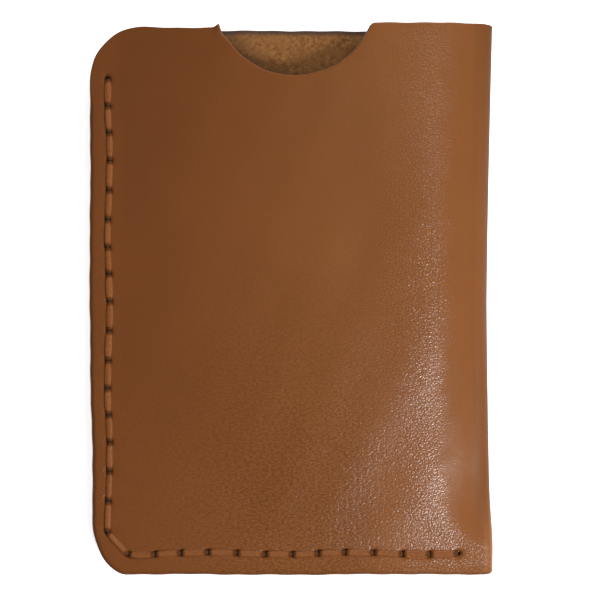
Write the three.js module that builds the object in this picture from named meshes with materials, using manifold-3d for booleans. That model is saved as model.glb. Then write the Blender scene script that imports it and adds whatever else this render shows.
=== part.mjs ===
// A flat leather sleeve: one blank folded along its right side, open at the top,
// and sewn along the left side and the bottom with one length of waxed thread.
// Millimetres, +Z up. It lies on its back panel, with its mouth towards +Y and its fold towards +X.

import * as THREE from 'three';
import { mergeVertices } from 'three/addons/utils/BufferGeometryUtils.js';
import Module from 'manifold-3d';

const wasm = await Module();
wasm.setup();

// Overall size and leather
const WIDTH = 72;
const LENGTH = 98;
const LEATHER = 1.6;
const LAYER_GAP = 0.3;
const SEAM_LIFT = 1.2;

// The swell of the front panel: up from the seams, over a shoulder and down to the fold
const CREST_TOP = 8.12;
const LEFT_RISE = 32;
const BOTTOM_RISE = 70;
const CREST_BEND = 12;
const SHOULDER_X = 24.4;
const SHOULDER_BEND = 2.5;

// The lift of the back panel along the seams
const LEFT_LIFT_RUN = 12;
const BOTTOM_LIFT_RUN = 14;

// The fold, which closes towards the bottom
const MOUTH_FOLD_GAP = 3.65;
const BOTTOM_FOLD_GAP = 0.3;
const FOLD_GAP_POWER = 0.7;
const FOLD_WAIST = 0.95;
const FOLD_WAIST_POWER = 1.4;

// The pressed margins outside the stitching
const LEFT_MARGIN = 5.5;
const BOTTOM_MARGIN = 4.9;

// Outline
const TOP_CORNER_RADIUS = 9.3;
const BOTTOM_CORNER_X = 6.4;
const BOTTOM_CORNER_Y = 10.7;
const NOTCH_RADIUS = 14.5;
const NOTCH_DEPTH = 9.2;
const NOTCH_X = 0.7;
const NOTCH_FILLET = 1.2;

// Stitching
const SEAM_INSET_X = 3.45;
const SEAM_INSET_Y = 3.9;
const SEAM_TOP_INSET = 9.5;
const SEAM_CORNER_X = 7.0;
const SEAM_CORNER_Y = 7.7;
const SEAM_END_INSET = 6.3;
const COLUMN_STITCHES = 16;
const ROW_STITCHES = 12;
const ALONG_WANDER = 0.25;
const SIDE_WANDER = 0.2;
const WANDER_STITCHES = 5.2;
const WANDER_PHASE = 3;
const COLUMN_DRIFT = 0.03;
const HOLE_RADIUS = 0.75;
const THREAD_RADIUS = 0.45;
const THREAD_WIDTH = 1.1;
const THREAD_HEIGHT = 0.7;
const THREAD_CLEARANCE = 0.3;
const STITCH_SPACING = 0.25;
const PASS_OVERLAP = 0.12;

// Mesh steps
const FRONT_STEPS = 14;
const FOLD_STEPS = 8;
const BACK_STEPS = 12;
const LENGTH_STEPS = 13;
const CURVE_STEPS = 10;
const ROUND_SIDES = 8;
const HOLE_SIDES = 6;

// Derived places
const LEFT = -WIDTH / 2;
const RIGHT = WIDTH / 2;
const TOP = LENGTH / 2;
const BOTTOM = -LENGTH / 2;
const SEAM_TOP = SEAM_LIFT + 2 * LEATHER + LAYER_GAP;
const CUTTER_REACH = 5;
const CUTTER_TOP = 20;

// A quarter wave from 0 at the start of a rise to 1 at its end.
function quarterWave(distance, rise) {
  const part = Math.min(Math.max(distance / rise, 0), 1);
  return Math.sin(part * Math.PI / 2);
}

// A line that is level before 0 and climbs 1 for 1 after it, rounded over a width.
function bend(distance, width) {
  return (distance + Math.hypot(distance, width)) / 2;
}

// The fold's outer edge: a little waisted halfway up.
function foldEdge(y) {
  return RIGHT - FOLD_WAIST * (1 - Math.abs(y / TOP) ** FOLD_WAIST_POWER);
}

// The gap inside the fold, which closes towards the sewn bottom.
function foldGap(y) {
  const open = quarterWave(y - BOTTOM - BOTTOM_MARGIN, LENGTH - BOTTOM_MARGIN) ** FOLD_GAP_POWER;
  return BOTTOM_FOLD_GAP + (MOUTH_FOLD_GAP - BOTTOM_FOLD_GAP) * open;
}

// Where the panels end and the round of the fold begins.
function foldStart(y) {
  return foldEdge(y) - LEATHER - foldGap(y) / 2;
}

// Underside of the back panel: flat on the ground, lifted along the two seams.
function backHeight(x, y) {
  const acrossPart = quarterWave(x - LEFT - LEFT_MARGIN, LEFT_LIFT_RUN);
  const alongPart = quarterWave(y - BOTTOM - BOTTOM_MARGIN, BOTTOM_LIFT_RUN);
  return SEAM_LIFT * (1 - acrossPart * alongPart);
}

// How far the front panel has climbed at a distance from the left seam: 0 at it, 1 at the crest.
function leftClimb(distance) {
  if (distance < 0) return 0;
  const rounding = bend(distance - LEFT_RISE, CREST_BEND) - bend(-LEFT_RISE, CREST_BEND);
  return (distance - rounding) / LEFT_RISE;
}

// Top of the front panel.
function frontHeight(x, y) {
  const crestRise = (CREST_TOP - SEAM_TOP) * quarterWave(y - BOTTOM - BOTTOM_MARGIN, BOTTOM_RISE);
  const start = foldStart(y);
  const foldTop = backHeight(start, y) + 2 * LEATHER + foldGap(y);
  const fallPart = bend(x - SHOULDER_X, SHOULDER_BEND) / bend(start - SHOULDER_X, SHOULDER_BEND);
  const climbPart = leftClimb(x - LEFT - LEFT_MARGIN) / leftClimb(start - LEFT - LEFT_MARGIN);
  return SEAM_TOP + crestRise * climbPart + (foldTop - SEAM_TOP - crestRise) * fallPart;
}

// Steps along a panel: the first one is the pressed margin, the others are even.
function stepPlace(step, steps, margin, whole) {
  if (step === 0) return 0;
  return margin + (whole - margin) * (step - 1) / (steps - 1);
}

function panelPoint(isFront, x, y, isOuter) {
  if (isFront) return [x, y, frontHeight(x, y) - (isOuter ? 0 : LEATHER)];
  return [x, y, backHeight(x, y) + (isOuter ? 0 : LEATHER)];
}

function foldPoint(angle, y, isOuter) {
  const start = foldStart(y);
  const radius = foldGap(y) / 2 + (isOuter ? LEATHER : 0);
  const centre = backHeight(start, y) + LEATHER + foldGap(y) / 2;
  return [start + radius * Math.sin(angle), y, centre + radius * Math.cos(angle)];
}

// A place on the flat blank, taken round the fold: front panel, fold, back panel.
function foldedPoint(acrossStep, alongStep, isOuter) {
  const y = BOTTOM + stepPlace(alongStep, LENGTH_STEPS, BOTTOM_MARGIN, LENGTH);
  const panelWidth = foldStart(y) - LEFT;
  if (acrossStep <= FRONT_STEPS) {
    const x = LEFT + stepPlace(acrossStep, FRONT_STEPS, LEFT_MARGIN, panelWidth);
    return panelPoint(true, x, y, isOuter);
  }
  const foldStep = acrossStep - FRONT_STEPS;
  if (foldStep < FOLD_STEPS) return foldPoint(Math.PI * foldStep / FOLD_STEPS, y, isOuter);
  const backStep = BACK_STEPS - (foldStep - FOLD_STEPS);
  const x = LEFT + stepPlace(backStep, BACK_STEPS, LEFT_MARGIN, panelWidth);
  return panelPoint(false, x, y, isOuter);
}

function toSolid(geometry) {
  const bare = geometry.clone();
  bare.deleteAttribute('normal');
  bare.deleteAttribute('uv');
  const merged = mergeVertices(bare, 1e-4);
  return new wasm.Manifold(new wasm.Mesh({
    numProp: 3,
    vertProperties: new Float32Array(merged.attributes.position.array),
    triVerts: new Uint32Array(merged.index.array),
  }));
}

function toGeometry(solid) {
  const mesh = solid.getMesh();
  const geometry = new THREE.BufferGeometry();
  geometry.setAttribute('position', new THREE.BufferAttribute(mesh.vertProperties, 3));
  geometry.setIndex(new THREE.BufferAttribute(mesh.triVerts, 1));
  geometry.computeVertexNormals();
  return geometry;
}

function foldedBlank() {
  const acrossSteps = FRONT_STEPS + FOLD_STEPS + BACK_STEPS;
  const blank = new THREE.BoxGeometry(1, 1, 1, acrossSteps, LENGTH_STEPS, 1);
  const places = blank.attributes.position;
  for (let i = 0; i < places.count; i += 1) {
    const acrossStep = Math.round((places.getX(i) + 0.5) * acrossSteps);
    const alongStep = Math.round((places.getY(i) + 0.5) * LENGTH_STEPS);
    places.setXYZ(i, ...foldedPoint(acrossStep, alongStep, places.getZ(i) > 0));
  }
  return toSolid(blank);
}

function upright(shape, from, to) {
  const geometry = new THREE.ExtrudeGeometry(shape, {
    depth: to - from,
    bevelEnabled: false,
    curveSegments: CURVE_STEPS,
  });
  geometry.translate(0, 0, from);
  return toSolid(geometry);
}

// What is trimmed off the left corner at one end of the sleeve; side is 1 at the top, -1 at the bottom.
function cornerTrim(side, radiusX, radiusY) {
  const end = side * TOP;
  const straight = end - side * radiusY;
  const shape = new THREE.Shape();
  shape.moveTo(LEFT + radiusX, end + side * CUTTER_REACH);
  shape.lineTo(LEFT - CUTTER_REACH, end + side * CUTTER_REACH);
  shape.lineTo(LEFT - CUTTER_REACH, straight);
  shape.lineTo(LEFT, straight);
  shape.absellipse(LEFT + radiusX, straight, radiusX, radiusY, Math.PI, side * Math.PI / 2, side > 0);
  return upright(shape, -CUTTER_REACH, CUTTER_TOP);
}

// The half-moon for the thumb, with its right corner rounded and its left corner left sharp.
function thumbNotch() {
  const centreY = TOP - NOTCH_DEPTH + NOTCH_RADIUS;
  const filletY = TOP - NOTCH_FILLET;
  const reach = NOTCH_RADIUS + NOTCH_FILLET;
  const filletX = NOTCH_X + Math.sqrt(reach ** 2 - (centreY - filletY) ** 2);
  const filletAngle = Math.atan2(centreY - filletY, NOTCH_X - filletX);
  const leftAngle = Math.PI + Math.asin((centreY - TOP) / NOTCH_RADIUS);
  const leftX = NOTCH_X + NOTCH_RADIUS * Math.cos(leftAngle);
  const shape = new THREE.Shape();
  shape.moveTo(filletX, TOP + CUTTER_REACH);
  shape.lineTo(leftX, TOP + CUTTER_REACH);
  shape.lineTo(leftX, TOP);
  shape.absarc(NOTCH_X, centreY, NOTCH_RADIUS, leftAngle, filletAngle + Math.PI, false);
  shape.absarc(filletX, filletY, NOTCH_FILLET, filletAngle, Math.PI / 2, true);
  return upright(shape, LEATHER * 2, CUTTER_TOP);
}

// How far a hole sits from its even place along the seam, which is spaced by hand.
function alongWander(i, last, drift) {
  if (i === last) return 0;
  return ALONG_WANDER * (Math.cos(2 * Math.PI * i / WANDER_STITCHES) - 1) - drift * i;
}

// How far a hole sits to the side of the seam's line.
function sideWander(i) {
  return SIDE_WANDER * Math.cos(2 * Math.PI * (i - WANDER_PHASE) / WANDER_STITCHES);
}

// The stitching holes in order, from the mouth down the left side and along the bottom.
function stitchHoles() {
  const columnX = LEFT + SEAM_INSET_X;
  const columnTop = TOP - SEAM_TOP_INSET;
  const columnDrop = LENGTH - SEAM_TOP_INSET - SEAM_CORNER_Y;
  const rowLeft = LEFT + SEAM_CORNER_X;
  const rowLength = WIDTH - SEAM_CORNER_X - SEAM_END_INSET;
  const holes = [];
  for (let i = 0; i <= COLUMN_STITCHES; i += 1) {
    const drop = columnDrop * i / COLUMN_STITCHES + alongWander(i, COLUMN_STITCHES, COLUMN_DRIFT);
    holes.push(new THREE.Vector2(columnX + sideWander(i), columnTop - drop));
  }
  for (let i = 0; i <= ROW_STITCHES; i += 1) {
    const reach = rowLength * i / ROW_STITCHES + alongWander(i, ROW_STITCHES, 0);
    holes.push(new THREE.Vector2(rowLeft + reach, BOTTOM + SEAM_INSET_Y + sideWander(i)));
  }
  return holes;
}

function pegAt(place, radius, sides, from, to) {
  const peg = new THREE.CylinderGeometry(radius, radius, to - from, sides);
  peg.rotateX(Math.PI / 2);
  peg.translate(place.x, place.y, (from + to) / 2);
  return toSolid(peg);
}

function leatherBody(holes) {
  let body = foldedBlank();
  body = body.subtract(cornerTrim(1, TOP_CORNER_RADIUS, TOP_CORNER_RADIUS));
  body = body.subtract(cornerTrim(-1, BOTTOM_CORNER_X, BOTTOM_CORNER_Y));
  body = body.subtract(thumbNotch());
  for (const hole of holes) {
    body = body.subtract(pegAt(hole, HOLE_RADIUS, HOLE_SIDES, -CUTTER_REACH, CUTTER_TOP));
  }
  return toGeometry(body);
}

// One visible stitch: a flattened round bar from hole to hole, just clear of the next one.
function stitchBar(from, to, height) {
  const span = to.clone().sub(from);
  const bar = new THREE.CylinderGeometry(0.5, 0.5, span.length() - STITCH_SPACING, ROUND_SIDES);
  bar.rotateZ(-Math.PI / 2);
  bar.scale(1, THREAD_WIDTH, THREAD_HEIGHT);
  bar.rotateZ(span.angle());
  bar.translate((from.x + to.x) / 2, (from.y + to.y) / 2, height);
  return toSolid(bar);
}

// The thread runs on both faces in every interval, and both of its passes fill each hole.
function sewingThread(holes) {
  const frontHeight = SEAM_TOP + THREAD_CLEARANCE + THREAD_HEIGHT / 2;
  const rearHeight = SEAM_LIFT - THREAD_CLEARANCE - THREAD_HEIGHT / 2;
  const passBottom = rearHeight - PASS_OVERLAP;
  const passTop = frontHeight + PASS_OVERLAP;
  let thread = pegAt(holes[0], THREAD_RADIUS, ROUND_SIDES, passBottom, passTop);
  for (let i = 1; i < holes.length; i += 1) {
    thread = thread.add(pegAt(holes[i], THREAD_RADIUS, ROUND_SIDES, passBottom, passTop));
    thread = thread.add(stitchBar(holes[i - 1], holes[i], frontHeight));
    thread = thread.add(stitchBar(holes[i - 1], holes[i], rearHeight));
  }
  return toGeometry(thread);
}

function namedMesh(name, geometry, color, roughness) {
  const material = new THREE.MeshStandardMaterial({ color, roughness, metalness: 0 });
  const mesh = new THREE.Mesh(geometry, material);
  mesh.name = name;
  return mesh;
}

const holes = stitchHoles();
const sleeve = new THREE.Group();
sleeve.add(namedMesh('leather_body', leatherBody(holes), 0x83502d, 0.5));
sleeve.add(namedMesh('sewing_thread', sewingThread(holes), 0xa8663a, 0.45));

export default sleeve;
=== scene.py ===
"""A hand-sewn leather card sleeve, lying on its back panel on a plain white floor.

One blank of leather is folded along its right side, and one waxed thread sews it along its left
side and its bottom. Shapes are worked out in millimetres in the CAD's frame, and made in metres.
"""

import math

import bpy
import numpy as np
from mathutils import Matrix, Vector
from mathutils.geometry import delaunay_2d_cdt


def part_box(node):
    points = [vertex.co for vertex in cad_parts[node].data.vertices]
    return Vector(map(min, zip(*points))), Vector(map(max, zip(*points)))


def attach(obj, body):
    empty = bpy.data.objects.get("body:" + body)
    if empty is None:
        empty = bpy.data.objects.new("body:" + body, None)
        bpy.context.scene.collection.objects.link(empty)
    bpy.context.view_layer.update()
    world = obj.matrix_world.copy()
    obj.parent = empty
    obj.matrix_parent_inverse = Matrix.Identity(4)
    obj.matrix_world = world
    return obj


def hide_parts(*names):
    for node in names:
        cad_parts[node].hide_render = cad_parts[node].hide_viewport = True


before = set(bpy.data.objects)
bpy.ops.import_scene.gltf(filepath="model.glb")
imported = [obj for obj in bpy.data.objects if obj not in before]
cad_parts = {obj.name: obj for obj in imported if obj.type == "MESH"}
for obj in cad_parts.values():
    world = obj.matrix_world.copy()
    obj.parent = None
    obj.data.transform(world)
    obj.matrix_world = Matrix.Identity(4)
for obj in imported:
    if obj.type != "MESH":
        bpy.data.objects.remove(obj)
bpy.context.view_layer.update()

MM = 0.001

# The CAD leather's box, in millimetres
LOW, HIGH = [np.array(corner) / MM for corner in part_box("leather_body")]
LEFT, BOTTOM = LOW[0], LOW[1]
RIGHT, TOP = HIGH[0], HIGH[1]
LENGTH = TOP - BOTTOM

# The folded shape, as in the CAD but for a slightly rounder top corner
LEATHER = 1.6
LAYER_GAP = 0.3
SEAM_LIFT = 1.2
SEAM_TOP = SEAM_LIFT + 2 * LEATHER + LAYER_GAP
CREST_TOP = 8.12
LEFT_RISE = 32.0
BOTTOM_RISE = 70.0
CREST_BEND = 12.0
SHOULDER_X = 24.4
SHOULDER_BEND = 2.5
LEFT_LIFT_RUN = 12.0
BOTTOM_LIFT_RUN = 14.0
MOUTH_FOLD_GAP = 3.65
BOTTOM_FOLD_GAP = 0.3
FOLD_GAP_POWER = 0.7
FOLD_WAIST = 0.95
FOLD_WAIST_POWER = 1.4
LEFT_MARGIN = 5.5
BOTTOM_MARGIN = 4.9
TOP_CORNER_RADIUS = 9.8
BOTTOM_CORNER_X = 6.4
BOTTOM_CORNER_Y = 10.7
NOTCH_RADIUS = 14.5
NOTCH_DEPTH = 9.2
NOTCH_X = 0.7
NOTCH_FILLET = 1.2

# The stitching, as in the CAD
SEAM_INSET_X = 3.45
SEAM_INSET_Y = 3.9
SEAM_TOP_INSET = 9.5
SEAM_CORNER_X = 7.0
SEAM_CORNER_Y = 7.7
SEAM_END_INSET = 6.3
COLUMN_STITCHES = 16
ROW_STITCHES = 12
ALONG_WANDER = 0.25
SIDE_WANDER = 0.2
WANDER_STITCHES = 5.2
WANDER_PHASE = 3
COLUMN_DRIFT = 0.03

# What the finished leather adds to the CAD's shape
SHOWN_LEATHER = 1.7
SEAM_EDGE_ROUND = 0.75
MOUTH_EDGE_ROUND = 0.28
SEAM_INNER_ROUND = 0.07
MOUTH_INNER_ROUND = 0.3
STITCH_PRESS = 0.07
STITCH_PRESS_WIDTH = 1.1
HOLE_LONG = 0.5
HOLE_SHORT = 0.38
HOLE_SLANT = math.radians(22)
HOLE_FUNNEL = 0.3
HOLE_FUNNEL_WIDTH = 0.3
RIPPLE = 0.05
EDGE_WAVE = 0.035
TIP_CURL = 0.8
TIP_REACH = 0.65
TIP_WIDTH = 0.6
TIP_LENGTH = 1.4
FOLD_FLARE = 0.3
FOLD_FLARE_Y = -43.0
FOLD_FLARE_WIDTH = 5.5
SHOULDER_RUN_OUT = 3.4
SHOULDER_TURN_Y = -31.0
LEFT_DRAW = 0.17
LEFT_LOW_DRAW = 0.35
FRONT_MOUTH_SAG = 0.6
BACK_MOUTH_SAG = 0.5
CREST_DIP = 0.2
CREST_DIP_X = 11.5
CREST_DIP_Y = 14.0
CREST_DIP_WIDTH = 4.2
CREST_DIP_LENGTH = 20.0
EDGE_BARREL = 0.07
INNER_HOLE_SHRINK = 0.06
OUTER_WEAR_REACH = 2.2
INNER_WEAR_REACH = 1.2
MOUTH_WEAR_LOSS = 0.6
MOUTH_START = 16.0
MOUTH_BLEND = 5.0
POCKET_FADE = 2.8
POCKET_SHIFT = 1.3

# Mesh spacing
OUTLINE_STEP = 0.38
OUTER_STEP = 0.85
INNER_STEP = 1.8
FOLD_STEPS = 18
HOLE_SIDES = 14
OUTER_ROUND_SHARES = (0.04, 0.14, 0.3, 0.52, 0.8, 1.15)
INNER_ROUND_SHARES = (0.25, 1.1)
HOLE_RINGS = (0.13, 0.32, 0.6, 1.0)
CLEAR_STEPS = 0.45
FOLD_CLEAR_STEPS = 0.55
ROUND_OVERLAP = 0.93
NEAR_HOLE = 1.2
FUNNEL_REACH = 3.0

# Thread
THREAD_WIDE = 1.3
THREAD_TALL = 0.56
THREAD_SUNK = 0.3
THREAD_UNEVEN = 0.08
THREAD_PINCH = 0.3
THREAD_PINCH_REACH = 1.7
THREAD_SHADE_REACH = 0.36
THREAD_SHADE_FADE = 0.45
THREAD_STEP = 0.3
THREAD_SIDES = 15
THREAD_PLIES = 3
THREAD_PLY_DEPTH = 0.05
THREAD_TWIST = 4.2
STRAND_SIDE = 0.16
DOUBLED_SIDE = 0.3
BACKSTITCHES = 2

# How the thread climbs out of a hole: millimetres along the stitch, and the share of its full height
THREAD_CLIMB = ((0.3, -0.95), (0.62, -0.2), (1.15, 0.75), (1.9, 1.0))
THREAD_CROWN = 1.06

OUTER, FLESH, CUT_EDGE = 0, 1, 2
BLANK_SPAN = 150.0


# ---------------------------------------------------------------- the folded shape


def smooth(part):
    part = np.clip(part, 0, 1)
    return part * part * (3 - 2 * part)


def quarter_wave(distance, rise):
    """From 0 at the start of a rise to 1 at its end."""
    return np.sin(np.clip(distance / rise, 0, 1) * math.pi / 2)


def bend(distance, width):
    """Level before 0 and climbing 1 for 1 after it, rounded over a width."""
    return (distance + np.hypot(distance, width)) / 2


def bell(distance, width):
    return np.exp(-((distance / width) ** 2))


def fold_edge(y):
    waist = FOLD_WAIST * (1 - np.abs(y / TOP) ** FOLD_WAIST_POWER)
    return RIGHT - waist + FOLD_FLARE * bell(y - FOLD_FLARE_Y, FOLD_FLARE_WIDTH)


def fold_gap(y):
    part = quarter_wave(y - BOTTOM - BOTTOM_MARGIN, LENGTH - BOTTOM_MARGIN) ** FOLD_GAP_POWER
    return BOTTOM_FOLD_GAP + (MOUTH_FOLD_GAP - BOTTOM_FOLD_GAP) * part


def fold_start(y):
    """Where the flat panels end and the round of the fold begins."""
    return fold_edge(y) - LEATHER - fold_gap(y) / 2


def back_height(x, y):
    """Underside of the back panel: on the floor in its middle, and lifted along the two seams."""
    across = quarter_wave(x - LEFT - LEFT_MARGIN, LEFT_LIFT_RUN)
    along = quarter_wave(y - BOTTOM - BOTTOM_MARGIN, BOTTOM_LIFT_RUN)
    return SEAM_LIFT * (1 - across * along)


def left_climb(distance):
    """How far the front panel has climbed at a distance from the left seam: 0 at it, 1 at the crest."""
    rounding = bend(distance - LEFT_RISE, CREST_BEND) - bend(-LEFT_RISE, CREST_BEND)
    return np.where(distance < 0, 0, (distance - rounding) / LEFT_RISE)


def shoulder_x(y):
    """The shoulder's line, which runs out towards the corner at the bottom."""
    return SHOULDER_X + SHOULDER_RUN_OUT * smooth((SHOULDER_TURN_Y - y) / (SHOULDER_TURN_Y - BOTTOM))


def front_height(x, y):
    """Top of the front panel."""
    crest_rise = (CREST_TOP - SEAM_TOP) * quarter_wave(y - BOTTOM - BOTTOM_MARGIN, BOTTOM_RISE)
    start = fold_start(y)
    fold_top = back_height(start, y) + 2 * LEATHER + fold_gap(y)
    shoulder = shoulder_x(y)
    fall = bend(x - shoulder, SHOULDER_BEND) / bend(start - shoulder, SHOULDER_BEND)
    climb = left_climb(x - LEFT - LEFT_MARGIN) / left_climb(start - LEFT - LEFT_MARGIN)
    dip = CREST_DIP * bell(x - CREST_DIP_X, CREST_DIP_WIDTH) * bell(y - CREST_DIP_Y, CREST_DIP_LENGTH)
    return SEAM_TOP + crest_rise * climb + (fold_top - SEAM_TOP - crest_rise) * fall - dip


def ripple(x, y):
    """Slow unevenness of real leather, fading out at the seams and the fold."""
    waves = np.sin(x / 4.1 + 1.3 * np.sin(y / 9.0)) + np.sin(y / 5.3 + x / 8.7 + 0.8)
    waves = waves + 0.7 * np.sin(x / 2.3 - y / 3.9 + 2.0 * np.sin(x / 11.0))
    inside = smooth((x - LEFT - LEFT_MARGIN) / 8) * smooth((y - BOTTOM - BOTTOM_MARGIN) / 8)
    return RIPPLE * waves * inside * smooth((fold_start(y) - x) / 8)


def seam_press(x, y):
    """How far the tight stitches pull the leather in along the line of holes."""
    distance = distance_to(np.column_stack([x, y]), HOLES)
    return STITCH_PRESS * bell(distance, STITCH_PRESS_WIDTH)


def tip_weight(x, y):
    """Nearness to the sharp left corner of the thumb notch, which curls up."""
    across, along = (x - NOTCH_TIP[0]) / TIP_WIDTH, (y - NOTCH_TIP[1]) / TIP_LENGTH
    return bell(np.hypot(across, along), 1.0)


def outer_height(front, x, y):
    if not front:
        return back_height(x, y) + seam_press(x, y)
    top = front_height(x, y) + ripple(x, y)
    return top - seam_press(x, y) + TIP_CURL * tip_weight(x, y)


def inner_height(front, x, y):
    if not front:
        return back_height(x, y) + SHOWN_LEATHER
    return front_height(x, y) + ripple(x, y) - SHOWN_LEATHER + TIP_CURL * tip_weight(x, y)


def mouth_share(y):
    """1 at the mouth and its notch, 0 along the sewn edges."""
    return smooth((y - TOP + MOUTH_START) / MOUTH_BLEND)


def round_radius(y, outer):
    """Radius of the rounded edge at a height up the sleeve."""
    if outer:
        seam, mouth = SEAM_EDGE_ROUND, MOUTH_EDGE_ROUND
    else:
        seam, mouth = SEAM_INNER_ROUND, MOUTH_INNER_ROUND
    return seam + (mouth - seam) * mouth_share(y)


def edge_wear(distance, y, outer):
    """1 at the cut edge, 0 a little way in, and less at the mouth."""
    if outer:
        return np.clip(1 - distance / OUTER_WEAR_REACH, 0, 1) * (1 - MOUTH_WEAR_LOSS * mouth_share(y))
    return np.clip(1 - distance / INNER_WEAR_REACH, 0, 1)


def round_drop(distance, radius):
    """How far a rounded edge has dropped at a distance in from the outline."""
    inset = radius - np.clip(distance, 0, radius)
    return radius - np.sqrt(np.maximum(radius**2 - inset**2, 0))


# ---------------------------------------------------------------- outline and holes


def line(start, end):
    start, end = np.array(start, float), np.array(end, float)
    steps = max(int(round(np.linalg.norm(end - start) / OUTLINE_STEP)), 1)
    return start + (end - start) * np.linspace(0, 1, steps + 1)[:, None]


def arc(centre, radius_x, radius_y, start, end):
    """Points round an ellipse, from one angle to another, in degrees."""
    steps = max(int(round(math.radians(abs(end - start)) * max(radius_x, radius_y) / OUTLINE_STEP)), 4)
    angles = np.radians(np.linspace(start, end, steps + 1))
    return np.column_stack([centre[0] + radius_x * np.cos(angles), centre[1] + radius_y * np.sin(angles)])


def chain(parts):
    return np.concatenate([parts[0]] + [part[1:] for part in parts[1:]])


def normals_of(path):
    """Outward normals of an outline that runs clockwise."""
    along = np.gradient(path, axis=0)
    along /= np.linalg.norm(along, axis=1)[:, None]
    return np.column_stack([-along[:, 1], along[:, 0]])


def edge_wave(path):
    """The small unevenness of a hand-cut edge, fading out at both ends of the outline."""
    travelled = np.concatenate([[0], np.cumsum(np.linalg.norm(np.diff(path, axis=0), axis=1))])
    wave = np.sin(travelled / 0.9) + np.sin(travelled / 2.3 + 1.0) + 1.6 * np.sin(travelled / 6.1 + 2.0)
    ends = smooth(travelled / 4) * smooth((travelled[-1] - travelled) / 4)
    return EDGE_WAVE * wave * ends


def notch_geometry():
    centre = np.array([NOTCH_X, TOP - NOTCH_DEPTH + NOTCH_RADIUS])
    fillet_y = TOP - NOTCH_FILLET
    reach = NOTCH_RADIUS + NOTCH_FILLET
    fillet_x = NOTCH_X + math.sqrt(reach**2 - (centre[1] - fillet_y) ** 2)
    turn = math.degrees(math.atan2(centre[1] - fillet_y, NOTCH_X - fillet_x))
    left_angle = 180 + math.degrees(math.asin((centre[1] - TOP) / NOTCH_RADIUS))
    tip_x = NOTCH_X + NOTCH_RADIUS * math.cos(math.radians(left_angle))
    return centre, np.array([fillet_x, fillet_y]), turn, left_angle, np.array([tip_x, TOP])


NOTCH_CENTRE, NOTCH_FILLET_CENTRE, NOTCH_TURN, NOTCH_LEFT_ANGLE, NOTCH_TIP = notch_geometry()


def mouth_parts(front):
    left = (LEFT + TOP_CORNER_RADIUS, TOP)
    right = (fold_start(TOP), TOP)
    if not front:
        return [line(left, right)]
    return [
        line(left, NOTCH_TIP),
        arc(NOTCH_CENTRE, NOTCH_RADIUS, NOTCH_RADIUS, NOTCH_LEFT_ANGLE, NOTCH_TURN + 180),
        arc(NOTCH_FILLET_CENTRE, NOTCH_FILLET, NOTCH_FILLET, NOTCH_TURN, 90),
        line((NOTCH_FILLET_CENTRE[0], TOP), right),
    ]


def settle(path, front):
    """How use has moved the cut edge: the left side drawn in a little, and the mouth sagging."""
    x, y = path[:, 0], path[:, 1]
    drawn_in = LEFT_DRAW + LEFT_LOW_DRAW * smooth((-18 - y) / 10) - LEFT_DRAW * bell(y - 10, 12)
    moved = path.copy()
    moved[:, 0] += drawn_in * smooth((LEFT + 9 - x) / 8)
    if front:
        sag = FRONT_MOUTH_SAG * smooth((x - LEFT - 5) / 12) * smooth((NOTCH_TIP[0] + 2 - x) / 2)
    else:
        sag = BACK_MOUTH_SAG * smooth((x - LEFT - 5) / 12) * smooth((RIGHT - 6 - x) / 10)
    moved[:, 1] -= sag * smooth((y - TOP + 12) / 10)
    return moved


def free_outline(front):
    """A panel's cut edge, clockwise: along the bottom from the fold, up the left side, along the mouth."""
    low = (LEFT + BOTTOM_CORNER_X, BOTTOM + BOTTOM_CORNER_Y)
    high = (LEFT + TOP_CORNER_RADIUS, TOP - TOP_CORNER_RADIUS)
    path = chain(
        [
            line((fold_start(BOTTOM), BOTTOM), (low[0], BOTTOM)),
            arc(low, BOTTOM_CORNER_X, BOTTOM_CORNER_Y, -90, -180),
            line((LEFT, low[1]), (LEFT, high[1])),
            arc(high, TOP_CORNER_RADIUS, TOP_CORNER_RADIUS, 180, 90),
            *mouth_parts(front),
        ]
    )
    return settle(path, front) + normals_of(path) * edge_wave(path)[:, None]


def along_wander(i, last, drift):
    """How far a hole sits from its even place along the seam, which is spaced by hand."""
    if i == last:
        return 0
    return ALONG_WANDER * (math.cos(2 * math.pi * i / WANDER_STITCHES) - 1) - drift * i


def side_wander(i):
    return SIDE_WANDER * math.cos(2 * math.pi * (i - WANDER_PHASE) / WANDER_STITCHES)


def stitch_holes():
    """Centres of the holes in order, from the mouth down the left side and along the bottom."""
    drop = LENGTH - SEAM_TOP_INSET - SEAM_CORNER_Y
    reach = RIGHT - LEFT - SEAM_CORNER_X - SEAM_END_INSET
    holes = []
    for i in range(COLUMN_STITCHES + 1):
        place = drop * i / COLUMN_STITCHES + along_wander(i, COLUMN_STITCHES, COLUMN_DRIFT)
        holes.append((LEFT + SEAM_INSET_X + side_wander(i), TOP - SEAM_TOP_INSET - place))
    for i in range(ROW_STITCHES + 1):
        place = reach * i / ROW_STITCHES + along_wander(i, ROW_STITCHES, 0)
        holes.append((LEFT + SEAM_CORNER_X + place, BOTTOM + SEAM_INSET_Y + side_wander(i)))
    return np.array(holes)


def distance_to(points, path):
    """Distance from each point to a line of points."""
    starts, spans = path[:-1], np.diff(path, axis=0)
    lengths = np.maximum((spans**2).sum(1), 1e-12)
    nearest = np.empty(len(points))
    for first in range(0, len(points), 2000):
        away = points[first : first + 2000, None, :] - starts[None]
        share = np.clip((away * spans[None]).sum(2) / lengths, 0, 1)
        gap = away - spans[None] * share[:, :, None]
        nearest[first : first + 2000] = np.sqrt((gap**2).sum(2).min(1))
    return nearest


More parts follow.
